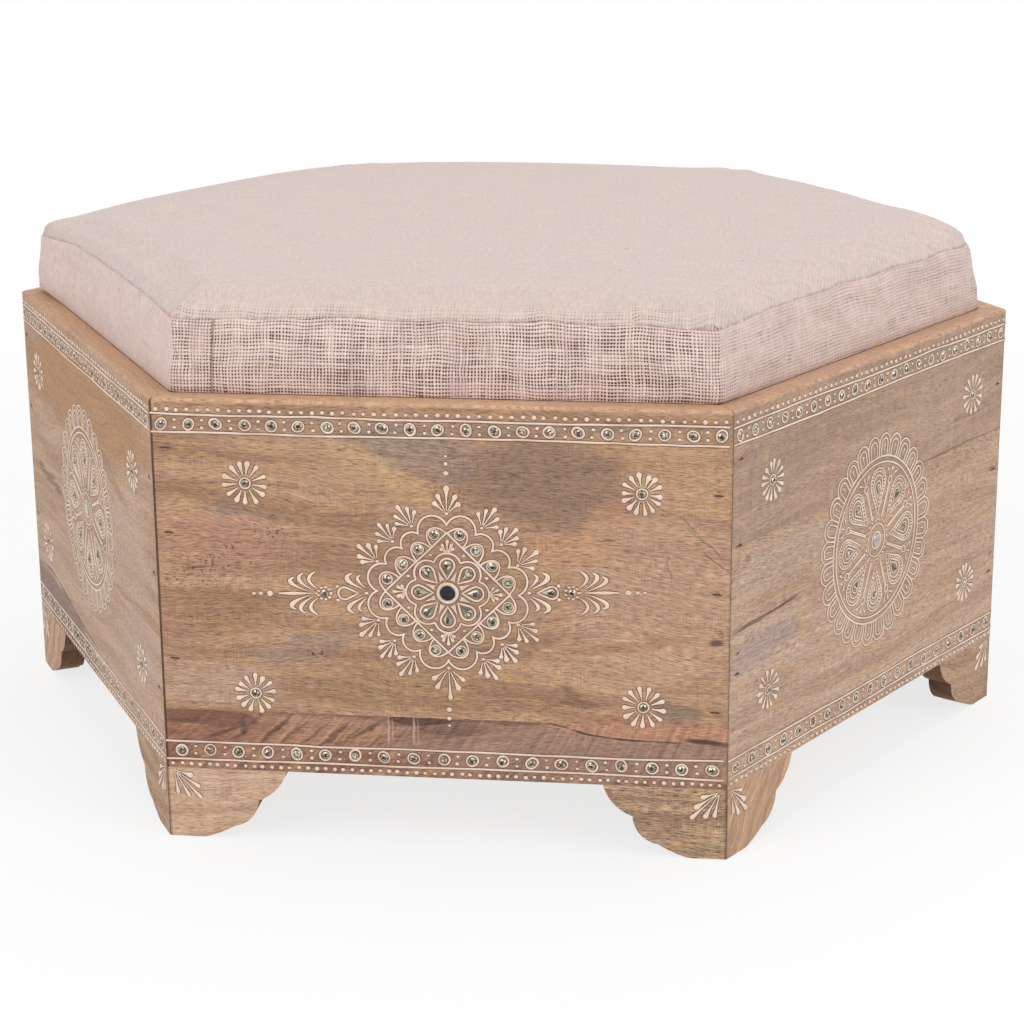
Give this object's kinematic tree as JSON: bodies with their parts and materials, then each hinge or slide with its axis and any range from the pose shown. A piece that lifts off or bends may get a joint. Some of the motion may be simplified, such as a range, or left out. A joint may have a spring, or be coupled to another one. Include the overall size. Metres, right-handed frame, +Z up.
{
  "type": "hexagonal storage bench",
  "caption": "Hexagonal mango-wood bench on scalloped bracket feet, with a lift-out upholstered seat over a storage case and raised paint ornament set with glass stones.",
  "frame": {"origin": "on the floor under the middle of the hexagon", "axes": "+Z up, the front side faces -Y, +X along the front side to the right through two opposite corners"},
  "size_m": [0.7994, 0.6962, 0.3868],
  "materials": {
    "mango_wood": "satin",
    "inner_wood": "raw",
    "plywood": "raw",
    "steel": "dull",
    "silvered_glass": "polished",
    "mirror_glass": "polished",
    "cone_paint": "matte",
    "foam": "matte",
    "handloom_cotton": "matte"
  },
  "bodies": {
    "case": {"back_base_cleat": "inner_wood", "back_foot_bracket_left": "mango_wood", "back_foot_bracket_right": "mango_wood", "back_left_corner_post": "inner_wood", "back_lower_board": "mango_wood", "back_middle_board": "mango_wood", "back_right_corner_post": "inner_wood", "back_seat_cleat": "inner_wood", "back_upper_board": "mango_wood", "base_board": "plywood", "centre_mirrors": "mirror_glass", "cleat_screws": "steel", "front_base_cleat": "inner_wood", "front_foot_bracket_left": "mango_wood", "front_foot_bracket_right": "mango_wood", "front_left_corner_post": "inner_wood", "front_lower_board": "mango_wood", "front_right_corner_post": "inner_wood", "front_seat_cleat": "inner_wood", "front_upper_board": "mango_wood", "left_back_base_cleat": "inner_wood", "left_back_foot_bracket_left": "mango_wood", "left_back_foot_bracket_right": "mango_wood", "left_back_lower_board": "mango_wood", "left_back_seat_cleat": "inner_wood", "left_back_upper_board": "mango_wood", "left_corner_post": "inner_wood", "left_front_base_cleat": "inner_wood", "left_front_foot_bracket_left": "mango_wood", "left_front_foot_bracket_right": "mango_wood", "left_front_lower_board": "mango_wood", "left_front_seat_cleat": "inner_wood", "left_front_upper_board": "mango_wood", "panel_nails": "steel", "right_back_base_cleat": "inner_wood", "right_back_foot_bracket_left": "mango_wood", "right_back_foot_bracket_right": "mango_wood", "right_back_lower_board": "mango_wood", "right_back_middle_board": "mango_wood", "right_back_seat_cleat": "inner_wood", "right_back_upper_board": "mango_wood", "right_corner_post": "inner_wood", "right_front_base_cleat": "inner_wood", "right_front_foot_bracket_left": "mango_wood", "right_front_foot_bracket_right": "mango_wood", "right_front_lower_board": "mango_wood", "right_front_middle_board": "mango_wood", "right_front_seat_cleat": "inner_wood", "right_front_upper_board": "mango_wood", "round_stones": "silvered_glass", "teardrop_stones": "silvered_glass"},
    "seat": {"seat_board": "plywood", "foam_pad": "foam", "cushion_cover": "handloom_cotton", "cover_staples": "steel"}
  },
  "joints": [
    {"name": "seat_lift", "type": "slide", "parent": "case", "child": "seat", "axis": [0, 0, 1], "range_m": [0, 0.25]}
  ]
}
